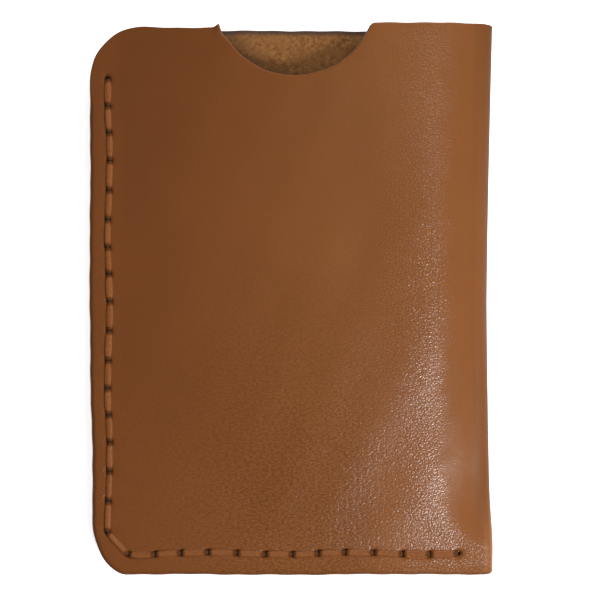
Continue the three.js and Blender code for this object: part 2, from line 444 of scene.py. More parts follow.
def inside(points, loop):
    """Whether each point lies inside a closed loop."""
    start, end = loop, np.roll(loop, -1, axis=0)
    found = np.zeros(len(points), bool)
    for (x0, y0), (x1, y1) in zip(start, end):
        crosses = (y0 > points[:, 1]) != (y1 > points[:, 1])
        if y0 != y1:
            found ^= crosses & (points[:, 0] < (x1 - x0) * (points[:, 1] - y0) / (y1 - y0) + x0)
    return found


HOLES = stitch_holes()
SEAM_ALONG = np.gradient(HOLES, axis=0)
SEAM_ALONG /= np.linalg.norm(SEAM_ALONG, axis=1)[:, None]


def hole_turn(index, front):
    """Angle of a hole's long way. The awl was turned a little differently each time."""
    along = SEAM_ALONG[index]
    slant = HOLE_SLANT * (1.0 + 0.5 * math.sin(2.1 * index))
    return math.atan2(along[1], along[0]) + (slant if front else -slant)


def hole_ring(index, front, grow):
    """A slanted oval round a stitching hole, grown outwards by some millimetres."""
    turned = hole_turn(index, front)
    angles = np.arange(HOLE_SIDES) * 2 * math.pi / HOLE_SIDES
    long, short = (HOLE_LONG + grow) * np.cos(angles), (HOLE_SHORT + grow) * np.sin(angles)
    across = np.column_stack(
        [
            long * math.cos(turned) - short * math.sin(turned),
            long * math.sin(turned) + short * math.cos(turned),
        ]
    )
    return HOLES[index] + across


# ---------------------------------------------------------------- the leather's mesh


def fold_line_places():
    """Heights along the fold, closer together near its two ends."""
    low = BOTTOM + SEAM_EDGE_ROUND * np.array(OUTER_ROUND_SHARES)
    high = TOP - MOUTH_EDGE_ROUND * np.array(OUTER_ROUND_SHARES)[::-1]
    steps = int((high[0] - low[-1]) / OUTER_STEP)
    middle = np.linspace(low[-1], high[0], steps + 1)[1:-1]
    return np.concatenate([[BOTTOM], low, middle, high, [TOP]])


class Blank:
    """The blank's growing mesh: points, their places on the flat blank, and faces by material."""

    def __init__(self):
        self.points, self.flat = [], []
        self.marks = {"edge_wear": [], "hole_grime": [], "pocket_depth": []}
        self.faces, self.kinds = [], []
        self.pair = {}
        self.push = {}

    def add(self, points, flat, **marks):
        first = len(self.points)
        self.points.extend(map(tuple, points))
        self.flat.extend(map(tuple, flat))
        for name, values in self.marks.items():
            values.extend(np.broadcast_to(marks.get(name, 0.0), len(points)))
        return np.arange(first, first + len(points))

    def face(self, corners, kind):
        self.faces.append(tuple(int(corner) for corner in corners))
        self.kinds.append(kind)


def flat_place(front, x, y):
    """Where a point of a panel lies on the unfolded blank."""
    start = fold_start(y)
    around = math.pi * (fold_gap(y) + LEATHER) / 2
    across = x if front else 2 * start + around - x
    return np.column_stack([across - LEFT, y - BOTTOM])


def panel_points(front, outer):
    """A panel's flat points: outline, fold line and hole loops first, then free points inside."""
    outline = free_outline(front)
    places = fold_line_places()[::-1][1:-1]
    fold_line = np.column_stack([fold_start(places), places])
    loop = np.concatenate([outline, fold_line])
    rings = [hole_ring(i, front, 0.0 if outer else -INNER_HOLE_SHRINK) for i in range(len(HOLES))]
    free = []
    radius = round_radius(outline[:, 1], outer)
    inward = -normals_of(outline)
    for share in OUTER_ROUND_SHARES if outer else INNER_ROUND_SHARES:
        inset = outline + inward * (share * radius)[:, None]
        keep = distance_to(inset, outline) > ROUND_OVERLAP * share * radius
        free.append(inset[keep])
    if outer:
        for grow in HOLE_RINGS:
            free.extend(hole_ring(i, front, grow) for i in range(len(HOLES)))
    step = OUTER_STEP if outer else INNER_STEP
    free.append(lattice(step, outline, loop, outer))
    free = np.concatenate(free)
    free = free[inside(free, loop)]
    return outline, fold_line, rings, free


def lattice(step, outline, loop, outer):
    """Even points inside a panel, clear of its edge, its fold line and its holes."""
    rows = np.arange(BOTTOM, TOP, step * math.sqrt(3) / 2)
    grid = [
        (x, y)
        for k, y in enumerate(rows)
        for x in np.arange(LEFT + (step / 2 if k % 2 else 0), RIGHT, step)
    ]
    grid = np.array(grid)
    grid = grid[inside(grid, loop)]
    radius = round_radius(grid[:, 1], outer)
    away = distance_to(grid, outline) > radius * OUTER_ROUND_SHARES[-1] + CLEAR_STEPS * step
    to_fold = fold_start(grid[:, 1]) - grid[:, 0] > FOLD_CLEAR_STEPS * step
    reach = (HOLE_LONG + HOLE_RINGS[-1] if outer else HOLE_LONG) + CLEAR_STEPS * step
    to_holes = np.min(np.linalg.norm(grid[:, None] - HOLES[None], axis=2), axis=1) > reach
    return grid[away & to_fold & to_holes]


def triangulate(outline, fold_line, rings, free):
    """Triangles, anticlockwise, over a panel's flat points, leaving out the holes."""
    loop = np.concatenate([outline, fold_line])
    points = np.concatenate([loop, *rings, free])
    edges, first = [(i, (i + 1) % len(loop)) for i in range(len(loop))], len(loop)
    for ring in rings:
        edges += [(first + i, first + (i + 1) % len(ring)) for i in range(len(ring))]
        first += len(ring)
    made = delaunay_2d_cdt([Vector(p) for p in points], edges, [], 0, 1e-6)
    if len(made[0]) != len(points):
        raise ValueError("the panel's points run into each other")
    source = np.array([origin[0] for origin in made[3]])
    triangles = source[np.array(made[2])]
    corners = points[triangles]
    middle = corners.mean(1)
    keep = inside(middle, loop)
    for ring in rings:
        near = np.flatnonzero(np.linalg.norm(middle - ring.mean(0), axis=1) < NEAR_HOLE)
        keep[near[inside(middle[near], ring)]] = False
    side_a, side_b = corners[:, 1] - corners[:, 0], corners[:, 2] - corners[:, 0]
    area = side_a[:, 0] * side_b[:, 1] - side_a[:, 1] * side_b[:, 0]
    triangles[area < 0] = triangles[area < 0][:, ::-1]
    return points, triangles[keep]


def hole_depth(points, front):
    """How far the leather has sunk round the holes, where the thread pulls it in."""
    sunk = np.zeros(len(points))
    for i, hole in enumerate(HOLES):
        near = np.flatnonzero(np.abs(points - hole).max(1) < FUNNEL_REACH)
        turned = hole_turn(i, front)
        away = points[near] - hole
        long = away[:, 0] * math.cos(turned) + away[:, 1] * math.sin(turned)
        short = -away[:, 0] * math.sin(turned) + away[:, 1] * math.cos(turned)
        size = np.hypot(long / HOLE_LONG, short / HOLE_SHORT)
        beyond = np.maximum(size - 1, 0) * (HOLE_LONG + HOLE_SHORT) / 2
        sunk[near] += HOLE_FUNNEL * bell(beyond, HOLE_FUNNEL_WIDTH)
    return sunk


def pocket_depth(x, y):
    """Painted shade on the suede: 1 down in the pocket under the front panel, 0 where the thumb notch leaves
    the suede open, more so on the right.
    """
    from_centre = np.hypot(x - NOTCH_X - POCKET_SHIFT, y - (TOP - NOTCH_DEPTH + NOTCH_RADIUS))
    return smooth((from_centre - NOTCH_RADIUS) / POCKET_FADE + 1)


def panel_sheet(blank, front, outer):
    """One face of one panel. Returns the point numbers of its outline, fold line and hole loops."""
    outline, fold_line, rings, free = panel_points(front, outer)
    points, triangles = triangulate(outline, fold_line, rings, free)
    x, y = points[:, 0], points[:, 1]
    distance = distance_to(points, outline)
    distance[: len(outline)] = 0
    drop = round_drop(distance, round_radius(y, outer))
    inward = -1 if front else 1
    if outer:
        height = outer_height(front, x, y) + inward * (drop + hole_depth(points, front))
    else:
        height = inner_height(front, x, y) - inward * drop
    shifted = points.copy()
    if front:
        shifted[:, 1] += TIP_REACH * tip_weight(x, y)
    # Painted shade round the holes, as strong as the leather has sunk there
    hole_shade = hole_depth(points, front) / HOLE_FUNNEL if outer else 0.0
    # Painted shade on the back panel's suede, where the front panel covers it
    pocket_shade = 0.0 if front or outer else pocket_depth(x, y)
    places = np.column_stack([shifted, height])
    marks = {"edge_wear": edge_wear(distance, y, outer), "hole_grime": hole_shade, "pocket_depth": pocket_shade}
    numbers = blank.add(places, flat_place(front, x, y), **marks)
    flip = front != outer
    kind = OUTER if outer else FLESH
    for triangle in triangles:
        corners = numbers[triangle]
        blank.face(corners[::-1] if flip else corners, kind)
    ends = len(outline), len(outline) + len(fold_line)
    loops = [numbers[ends[1] + i * HOLE_SIDES : ends[1] + (i + 1) * HOLE_SIDES] for i in range(len(rings))]
    return numbers[: ends[0]], numbers[ends[0] : ends[1]], loops, normals_of(outline)


def fold_sheet(blank, outer, front_ends, back_ends):
    """One face of the fold, between the two panels' fold lines. Returns its two end rows."""
    places = fold_line_places()
    centre = back_height(fold_start(places), places) + LEATHER + fold_gap(places) / 2
    distance = np.minimum(places - BOTTOM, TOP - places)
    drop = round_drop(distance, round_radius(places, outer))
    if outer:
        radius = fold_gap(places) / 2 + LEATHER - drop
    else:
        radius = fold_gap(places) / 2 + LEATHER - SHOWN_LEATHER + drop
    arc_length = math.pi * (fold_gap(places) + LEATHER) / 2
    rows = [front_ends]
    worn = edge_wear(distance, places, True)
    for step in range(1, FOLD_STEPS):
        angle = math.pi * step / FOLD_STEPS
        points = [fold_start(places) + radius * math.sin(angle), places, centre + radius * math.cos(angle)]
        across = fold_start(places) + arc_length * step / FOLD_STEPS - LEFT
        flat = np.column_stack([across, places - BOTTOM])
        rows.append(blank.add(np.column_stack(points), flat, edge_wear=worn))
    rows.append(back_ends)
    for left, right in zip(rows, rows[1:]):
        for i in range(len(places) - 1):
            corners = left[i], right[i], right[i + 1], left[i + 1]
            blank.face(corners if outer else corners[::-1], OUTER if outer else FLESH)
    return [(row[0], row[-1]) for row in rows[1:-1]]


def whole_fold_line(outline, fold_line):
    """The fold line from bottom to top, with the outline's two ends on it."""
    return np.concatenate([[outline[0]], fold_line[::-1], [outline[-1]]])


def leather_mesh():
    blank = Blank()
    sides = [(front, outer) for front in (True, False) for outer in (True, False)]
    sheets = {(front, outer): panel_sheet(blank, front, outer) for front, outer in sides}
    ends = {}
    for outer in (True, False):
        lines = [whole_fold_line(*sheets[front, outer][:2]) for front in (True, False)]
        ends[outer] = fold_sheet(blank, outer, *lines)
    for front in (True, False):
        outer_sheet, inner_sheet = sheets[front, True], sheets[front, False]
        for a, b, push in zip(outer_sheet[0], inner_sheet[0], outer_sheet[3]):
            blank.pair[a], blank.push[a] = b, push
        for outer_loop, inner_loop in zip(outer_sheet[2], inner_sheet[2]):
            for a, b in zip(outer_loop, inner_loop):
                blank.pair[a], blank.push[a] = b, np.zeros(2)
    for (low_a, high_a), (low_b, high_b) in zip(ends[True], ends[False]):
        blank.pair[low_a], blank.push[low_a] = low_b, np.array([0.0, -1.0])
        blank.pair[high_a], blank.push[high_a] = high_b, np.array([0.0, 1.0])
    close_edges(blank)
    return blank


def close_edges(blank):
    """The cut edge and the hole walls, between the outer and the inner face, a little barrelled."""
    directed = set()
    for corners, kind in zip(blank.faces, blank.kinds):
        if kind == OUTER:
            directed.update(zip(corners, corners[1:] + corners[:1]))
    rim = [(a, b) for a, b in directed if (b, a) not in directed]
    rim.sort()
    between = {}
    for a in sorted({corner for edge in rim for corner in edge}):
        top, low = np.array(blank.points[a]), np.array(blank.points[blank.pair[a]])
        column = [a]
        for share in (1 / 3, 2 / 3):
            point = top + (low - top) * share
            point[:2] += blank.push[a] * EDGE_BARREL
            marks = {"edge_wear": 1.0, "hole_grime": blank.marks["hole_grime"][a]}
            column.append(blank.add([point], [blank.flat[a]], **marks)[0])
        between[a] = column + [blank.pair[a]]
    for a, b in rim:
        for k in range(3):
            blank.face((between[b][k], between[a][k], between[a][k + 1], between[b][k + 1]), CUT_EDGE)


def make_leather(materials):
    blank = leather_mesh()
    mesh = bpy.data.meshes.new("leather_sleeve")
    mesh.from_pydata(np.array(blank.points) * MM, [], blank.faces)
    for material in materials:
        mesh.materials.append(material)
    mesh.polygons.foreach_set("material_index", blank.kinds)
    mesh.polygons.foreach_set("use_smooth", np.ones(len(blank.faces), bool))
    corner_points = np.zeros(len(mesh.loops), int)
    mesh.loops.foreach_get("vertex_index", corner_points)
    flat = np.array(blank.flat)[corner_points] / BLANK_SPAN
    mesh.uv_layers.new(name="blank").data.foreach_set("uv", flat.ravel())
    for name, values in blank.marks.items():
        mark = mesh.attributes.new(name, "FLOAT", "POINT")
        mark.data.foreach_set("value", np.array(values, np.float32))
    mesh.validate()
    sleeve = bpy.data.objects.new("leather_sleeve", mesh)
    bpy.context.scene.collection.objects.link(sleeve)
    return sleeve


# ---------------------------------------------------------------- the thread


def run_points(first, last, front, side):
    """Centre line of one stitch on one face, out of one hole and into the next."""
    start, end = HOLES[first], HOLES[last]
    along = (end - start) / np.linalg.norm(end - start)
    across = np.array([-along[1], along[0]])
    span = np.linalg.norm(end - start)
    out = 1 if front else -1
    height = THREAD_TALL / 2 - THREAD_SUNK
    fall = [(span - distance, lift) for distance, lift in THREAD_CLIMB[::-1]]
    points = []
    for distance, lift in [*THREAD_CLIMB, (span / 2, THREAD_CROWN), *fall]:
        place = start + along * distance + across * side * min(1, distance, span - distance)
        surface = outer_height(front, place[:1], place[1:])[0]
        points.append((*place, surface + out * height * lift))
    return points


def middle_point(index, side):
    """Where a pass of the thread crosses the middle of a hole."""
    along = SEAM_ALONG[index]
    across = np.array([-along[1], along[0]])
    place = HOLES[index] + across * side
    return (*place, SEAM_LIFT + LEATHER + LAYER_GAP / 2)


def strand(front_first):
    """One needle's way: down the seam, then back over the last stitches, ending behind the leather."""
    last = len(HOLES) - 1
    front = front_first
    side = STRAND_SIDE if front_first else -STRAND_SIDE
    points = []
    for i in range(last):
        points.append(middle_point(i, side))
        doubled = i >= last - BACKSTITCHES
        points += run_points(i, i + 1, front, DOUBLED_SIDE if doubled else 0.0)
        front = not front
    for i in range(last, last - BACKSTITCHES, -1):
        points.append(middle_point(i, -side))
        points += run_points(i, i - 1, front, DOUBLED_SIDE)
        front = not front
    return points


def smooth_path(points, step):
    """Even points along a Catmull-Rom curve through the given ones."""
    points = np.array(points)
    padded = np.concatenate([[2 * points[0] - points[1]], points, [2 * points[-1] - points[-2]]])
    dense = []
    for a, b, c, d in zip(padded, padded[1:], padded[2:], padded[3:]):
        for t in np.arange(8) / 8:
            squared = (2 * a - 5 * b + 4 * c - d) * t**2
            cubed = (3 * b - a - 3 * c + d) * t**3
            dense.append(0.5 * (2 * b + (c - a) * t + squared + cubed))
    dense = np.array(dense + [points[-1]])
    travelled = np.concatenate([[0], np.cumsum(np.linalg.norm(np.diff(dense, axis=0), axis=1))])
    even = np.linspace(0, travelled[-1], int(travelled[-1] / step) + 1)
    return np.column_stack([np.interp(even, travelled, dense[:, axis]) for axis in range(3)]), travelled[-1]


def thread_ring(point, normal, binormal, travelled):
    """A flat twisted section of the thread, thinner where it goes into a hole."""
    angles = np.arange(THREAD_SIDES) * 2 * math.pi / THREAD_SIDES
    turned = angles - travelled * 2 * math.pi / THREAD_TWIST
    ply = 1 - THREAD_PLY_DEPTH * (1 - np.abs(np.cos(THREAD_PLIES * turned / 2)) ** 0.8)
    from_hole = np.min(np.linalg.norm(HOLES - point[:2], axis=1))
    pinch = 1 - THREAD_PINCH * (1 - smooth(from_hole / THREAD_PINCH_REACH))
    uneven = 1 + THREAD_UNEVEN * math.sin(travelled / 2.1 + math.sin(travelled / 7.7))
    wide = THREAD_WIDE / 2 * pinch * uneven
    return (
        point
        + wide * (ply * np.cos(angles))[:, None] * normal
        + THREAD_TALL / 2 * (ply * np.sin(angles))[:, None] * binormal
    )


def thread_rings(path):
    """The sections along the thread's centre line, and how far along each is."""
    along = np.gradient(path, axis=0)
    along /= np.linalg.norm(along, axis=1)[:, None]
    normal = np.cross(along[0], (0.0, 0.0, 1.0))
    if np.linalg.norm(normal) < 0.1:
        normal = np.array([1.0, 0.0, 0.0])
    rings, places = [], []
    travelled = 0.0
    for k, (point, forward) in enumerate(zip(path, along)):
        normal = normal - forward * (normal @ forward)
        normal /= np.linalg.norm(normal)
        if k:
            travelled += np.linalg.norm(point - path[k - 1])
        rings.append(thread_ring(point, normal, np.cross(forward, normal), travelled))
        places.append(travelled)
    return rings, places


def thread_faces(places):
    """Faces between the rings and over both ends, and their places on the thread's map."""
    sides = THREAD_SIDES
    faces, coords = [], []
    for k in range(len(places) - 1):
        for i in range(sides):
            j = (i + 1) % sides
            faces.append((k * sides + i, k * sides + j, (k + 1) * sides + j, (k + 1) * sides + i))
            u, next_u = i / sides, (i + 1) / sides
            coords += [(u, places[k]), (next_u, places[k]), (next_u, places[k + 1]), (u, places[k + 1])]
    last, cap = (len(places) - 1) * sides, len(places) * sides
    for i in range(sides):
        j = (i + 1) % sides
        faces.append((cap, j, i))
        faces.append((cap + 1, last + i, last + j))
        coords += [(0, 0)] * 3 + [(0, places[-1])] * 3
    return faces, coords


def make_thread(material):
    """The whole thread, from one needle's end through the first hole to the other needle's end."""
    path, length = smooth_path(strand(True)[::-1] + strand(False)[1:], THREAD_STEP)
    print(f"thread length {length:.0f} mm")
    rings, places = thread_rings(path)
    points = np.concatenate([*rings, path[:1], path[-1:]])
    faces, coords = thread_faces(places)
    mesh = bpy.data.meshes.new("waxed_thread")
    mesh.from_pydata(points * MM, [], faces)
    mesh.materials.append(material)
    mesh.polygons.foreach_set("use_smooth", np.ones(len(faces), bool))
    mesh.uv_layers.new(name="thread").data.foreach_set("uv", np.array(coords, np.float32).ravel())
    # Painted shade on the thread where it goes into a hole
    to_hole = np.min(np.linalg.norm(points[:, None, :2] - HOLES[None], axis=2), axis=1)
    hole_shade = mesh.attributes.new("hole_grime", "FLOAT", "POINT")
    hole_shade.data.foreach_set("value", bell(np.maximum(to_hole - THREAD_SHADE_REACH, 0), THREAD_SHADE_FADE))
    thread = bpy.data.objects.new("waxed_thread", mesh)
    bpy.context.scene.collection.objects.link(thread)
    return thread


# ---------------------------------------------------------------- materials

TAN_DARKER = (0.181, 0.0595, 0.0175, 1)
TAN_PALER = (0.23, 0.0822, 0.025, 1)
# Darker crease colour, partly the grain's own and partly painted shade
TAN_CREASE_AND_SHADE = (0.09, 0.028, 0.008, 1)
TAN_RUBBED_EDGE = (0.075, 0.028, 0.012, 1)
SUEDE_DARK = (0.17, 0.062, 0.018, 1)
SUEDE_LIGHT = (0.36, 0.165, 0.05, 1)
SUEDE_BLOTCH = (0.26, 0.105, 0.03, 1)
# Painted shade for the suede down in the pocket
SUEDE_POCKET_SHADE = (0.085, 0.04, 0.017, 1)
SUEDE_EDGE = (0.045, 0.033, 0.027, 1)
BURNISH_DARK = (0.1, 0.038, 0.018, 1)
BURNISH_LIGHT = (0.18, 0.066, 0.027, 1)
THREAD_DARK = (0.184, 0.057, 0.011, 1)
THREAD_LIGHT = (0.268, 0.086, 0.0175, 1)
# Painted shade for the stitching holes
HOLE_SHADE_COLOUR = (0.095, 0.037, 0.015, 1)
WHITE = (1, 1, 1, 1)

# Where the leather changes across the blank: the start and end of the change, in millimetres from its
# left edge, and then the value at each of them where it isn't 0 and 1
TONE_ACROSS = (-6.0, 45.0)
TONE_SLANT = -0.12
WRINKLED = (6.0, 34.0, 0.25, 1.0)
SHOULDER_SHINE = (38.0, 66.0, 0.4, 1.0)
SHINE_SLANT = 0.15
PEBBLE_COLOUR = (47.5, 54.0)
SHOULDER_GRAIN = (49.5, 60.5)
FOLD_GRAIN = (60.4, 65.8)
FOLD_DULLING = (64.5, 68.0, 1.0, 0.5)
# The fold's round: rubbed duller, and darkened with painted shade where it turns away from the light
FOLD_EDGE = (67.6, 71.0)
FOLD_EDGE_END = (72.0, 76.0, 1.0, 0.0)
UNFOLD_GRAIN = (74.0, 80.0)

# Where it changes up the blank, in millimetres from its bottom edge
BOTTOM_TONE = (0.0, 50.0, 1.06, 1.0)
MOUTH_TONE = (55.0, 98.0, 1.0, 0.9)
MOUTH_DULLING = (72.0, 98.0, 1.0, 0.5)
FOLD_RUB_AND_SHADE = (3.0, 16.0, 0.0, 0.36)
PEBBLE_CREASE = (50.0, 95.0, 0.45, 0.15)
WRINKLE_CREASE = (8.0, 70.0, 0.56, 0.05)
WRINKLE_HEIGHT = (5.0, 70.0, 1.0, 0.5)
GRAIN_LEAN = (12.0, 50.0, 1.5, -0.6)
GRAIN_RUN_OUT = (0.0, 22.0, 3.0, 0.0)
GRAIN_CORNER = (0.0, 14.0, 8.0, 0.0)

# The grain itself
GRAIN_DRIFT = 4.5
GRAIN_BUMP = 0.035
CELLS_PER_MM = 1.75
DRAWN_OUT = (0.55, 1.1, 1)
ALONG_FOLD = (1.3, 0.3, 1)
CREASE_WIDTH = 0.25
PEBBLE_ROUND = 0.3


class Nodes:
    """A short way to write a material's node tree."""

    def __init__(self, name):
        self.material = bpy.data.materials.new(name)
        self.material.use_nodes = True
        self.tree = self.material.node_tree
        self.shader = self.tree.nodes["Principled BSDF"]

    def fill(self, socket, value):
        if isinstance(value, bpy.types.NodeSocket):
            self.tree.links.new(value, socket)
        else:
            socket.default_value = value

    def add(self, kind, settings, values):
        """A node with its settings, and its inputs by name or by number."""
        node = self.tree.nodes.new(kind)
        for name, value in settings.items():
            setattr(node, name, value)
        for name, value in values.items():
            self.fill(node.inputs[name], value)
        return node

    def shade(self, name, value):
        self.fill(self.shader.inputs[name], value)

    def math(self, operation, *values):
        return self.add("ShaderNodeMath", {"operation": operation}, dict(enumerate(values))).outputs[0]

    def times(self, *values):
        product = values[0]
        for value in values[1:]:
            product = self.math("MULTIPLY", product, value)
        return product

    def plus(self, a, b):
        return self.math("ADD", a, b)

    def less(self, a, b):
        return self.math("SUBTRACT", a, b)

    def mix(self, share, a, b, blend="MIX"):
        settings = {"data_type": "RGBA", "blend_type": blend}
        return self.add("ShaderNodeMix", settings, {0: share, 6: a, 7: b}).outputs[2]

    def grey(self, value):
        return self.add("ShaderNodeCombineColor", {}, {0: value, 1: value, 2: value}).outputs[0]

    def span(self, value, low, high, to_low=0.0, to_high=1.0):
        """A smooth step of value from low to high, rescaled."""
        values = {0: value, 1: low, 2: high, 3: to_low, 4: to_high}
        return self.add("ShaderNodeMapRange", {"interpolation_type": "SMOOTHSTEP"}, values).outputs[0]

    def noise(self, place, scale, detail=2.0, roughness=0.5, distortion=0.0):
        values = {
            "Vector": place,
            "Scale": scale,
            "Detail": detail,
            "Roughness": roughness,
            "Distortion": distortion,
        }
        return self.add("ShaderNodeTexNoise", {}, values).outputs["Fac"]

    def cells(self, place, scale):
        """Distance to the edges of rounded cells."""
        settings = {"feature": "DISTANCE_TO_EDGE", "voronoi_dimensions": "2D"}
        node = self.add("ShaderNodeTexVoronoi", settings, {"Vector": place, "Scale": scale})
        return node.outputs["Distance"]

    def vector(self, operation, a, b):
        return self.add("ShaderNodeVectorMath", {"operation": operation}, {0: a, 1: b}).outputs[0]

    def attribute(self, name):
        return self.add("ShaderNodeAttribute", {"attribute_name": name}, {}).outputs["Fac"]

    def uv(self, name, scale):
        return self.vector("MULTIPLY", self.add("ShaderNodeUVMap", {"uv_map": name}, {}).outputs[0], scale)

    def blank_place(self):
        """Millimetres on the unfolded blank."""
        return self.uv("blank", (BLANK_SPAN, BLANK_SPAN, 1))

    def bump(self, height, distance):
        return self.add("ShaderNodeBump", {}, {"Distance": distance * MM, "Height": height}).outputs[0]


def blank_sides(nodes, place):
    """Millimetres across and up the blank."""
    parts = nodes.add("ShaderNodeSeparateXYZ", {}, {"Vector": place}).outputs
    return parts["X"], parts["Y"]


def grain_zones(nodes, place):
    """How far a place is over the shoulder's strong grain, and in the fold's smooth stretch."""
    across, upward = blank_sides(nodes, place)
    shoulder = nodes.span(across, *SHOULDER_GRAIN)
    drift = nodes.times(nodes.less(nodes.noise(place, 0.16), 0.5), GRAIN_DRIFT)
    run_out = nodes.plus(nodes.span(upward, *GRAIN_RUN_OUT), nodes.span(upward, *GRAIN_CORNER))
    lean = nodes.span(upward, *GRAIN_LEAN)
    from_shoulder = nodes.less(nodes.plus(nodes.plus(across, lean), drift), run_out)
    folded = nodes.span(from_shoulder, *FOLD_GRAIN)
    unfolded = nodes.span(across, *UNFOLD_GRAIN)
    return shoulder, nodes.times(folded, nodes.less(1.0, unfolded))


def grain_cells(nodes, place):
    """A warped place, and how far it is from a crease between round pebbles, and between drawn out ones."""
    warp = nodes.add("ShaderNodeTexNoise", {}, {"Vector": place, "Scale": 1.2, "Detail": 1.0})
    bent = nodes.vector("ADD", place, nodes.vector("MULTIPLY", warp.outputs["Color"], (0.7, 0.7, 0.7)))
    drawn = nodes.vector("MULTIPLY", bent, DRAWN_OUT)
    return bent, nodes.cells(bent, CELLS_PER_MM), nodes.cells(drawn, CELLS_PER_MM)


def grain_height(nodes, cells, upward, shoulder, by_fold):
    """Pebbles about half a millimetre wide over the shoulder, fainter and drawn out across elsewhere."""
    bent, round_cells, drawn_cells = cells
    along_fold = nodes.vector("MULTIPLY", bent, ALONG_FOLD)
    pebble = nodes.times(nodes.span(round_cells, 0.0, PEBBLE_ROUND), 0.4)
    wrinkle = nodes.times(nodes.span(drawn_cells, 0.0, PEBBLE_ROUND), 0.35)
    crisp = nodes.plus(pebble, nodes.times(nodes.noise(bent, 2.5, 1.5, 0.55), 1.3))
    faint = nodes.plus(wrinkle, nodes.times(nodes.noise(bent, 2.6, 2.0, 0.5), 0.9))
    faint = nodes.times(faint, nodes.span(upward, *WRINKLE_HEIGHT))
    streaks = nodes.times(nodes.noise(along_fold, 2.0, 2.0, 0.5), 0.35)
    return nodes.mix(by_fold, nodes.mix(shoulder, faint, crisp), streaks)


def leather_colour(nodes, place, cells, by_fold, fold_rub_and_shade):
    """Darker towards the left and the top and paler towards the fold and the bottom, darkened on the fold's
    round by rubbing and painted shade, with darker creases in the grain that are partly painted shade.
    """
    across, upward = blank_sides(nodes, place)
    # Darker towards the left and the top, paler towards the fold
    toward_paler = nodes.span(nodes.math("MULTIPLY_ADD", upward, TONE_SLANT, across), *TONE_ACROSS)
    base = nodes.mix(toward_paler, TAN_DARKER, TAN_PALER)

    pebbled = nodes.times(nodes.span(across, *PEBBLE_COLOUR), nodes.less(1.0, by_fold))
    cloud = nodes.span(nodes.noise(place, 0.05, 3.0, 0.6), 0.3, 0.7, 0.97, 1.03)
    # The fold's round is darkened partly by rubbing and partly with painted shade
    tone = nodes.times(cloud, nodes.less(1.0, fold_rub_and_shade), nodes.math("MULTIPLY_ADD", pebbled, 0.1, 1.0))
    tone = nodes.times(tone, nodes.span(upward, *MOUTH_TONE), nodes.span(upward, *BOTTOM_TONE))
    base = nodes.mix(1.0, base, nodes.grey(tone), "MULTIPLY")

    # Darker creases between the pebbles, partly their colour and partly painted shade; the pebbled zone is
    # lifted a little above to keep its mean
    pebbles = nodes.span(cells[1], 0.0, CREASE_WIDTH, 1.0, 0.0)
    pebbles = nodes.times(pebbles, nodes.span(upward, *PEBBLE_CREASE))
    base = nodes.mix(nodes.times(pebbled, pebbles), base, TAN_CREASE_AND_SHADE)
    # Darker drawn-out wrinkles on the smooth side, partly their colour and partly painted shade
    drawn = nodes.vector("MULTIPLY", place, DRAWN_OUT)
    wrinkles = nodes.span(nodes.noise(drawn, 3.3, 1.5, 0.5, 0.4), 0.36, 0.64, 1.0, 0.0)
    wrinkles = nodes.times(wrinkles, nodes.span(upward, *WRINKLE_CREASE), nodes.span(across, *WRINKLED))
    smooth_side = nodes.less(1.0, nodes.span(across, *PEBBLE_COLOUR))
    return nodes.mix(nodes.times(smooth_side, wrinkles), base, TAN_CREASE_AND_SHADE)


def leather_roughness(nodes, place, by_shoulder, by_fold, fold_rub_and_shade):
    rough = nodes.span(nodes.noise(place, 0.3, 3.0), 0.3, 0.7, 0.22, 0.25)
    rough = nodes.math("MULTIPLY_ADD", by_shoulder, 0.02, rough)
    rough = nodes.math("MULTIPLY_ADD", by_fold, -0.06, rough)
    return nodes.math("MULTIPLY_ADD", fold_rub_and_shade, 0.8, rough)


def leather_shine(nodes, place, wear, hole_shade, by_fold, fold_rub_and_shade):
    """The glaze, which use has dulled at the cut edges, at the holes, at the mouth and on the fold."""
    across, upward = blank_sides(nodes, place)
    toward_fold = nodes.math("MULTIPLY_ADD", upward, SHINE_SLANT, across)
    return nodes.times(
        nodes.span(wear, 0.05, 0.4, 1.0, 0.3),
        nodes.span(hole_shade, 0.0, 0.1, 0.6, 0.0),
        nodes.span(toward_fold, *SHOULDER_SHINE),
        nodes.math("MULTIPLY_ADD", by_fold, -0.35, 1.0),
        nodes.math("MULTIPLY_ADD", fold_rub_and_shade, -2.0, 1.0),
        nodes.span(across, *FOLD_DULLING),
        nodes.span(upward, *MOUTH_DULLING),
    )


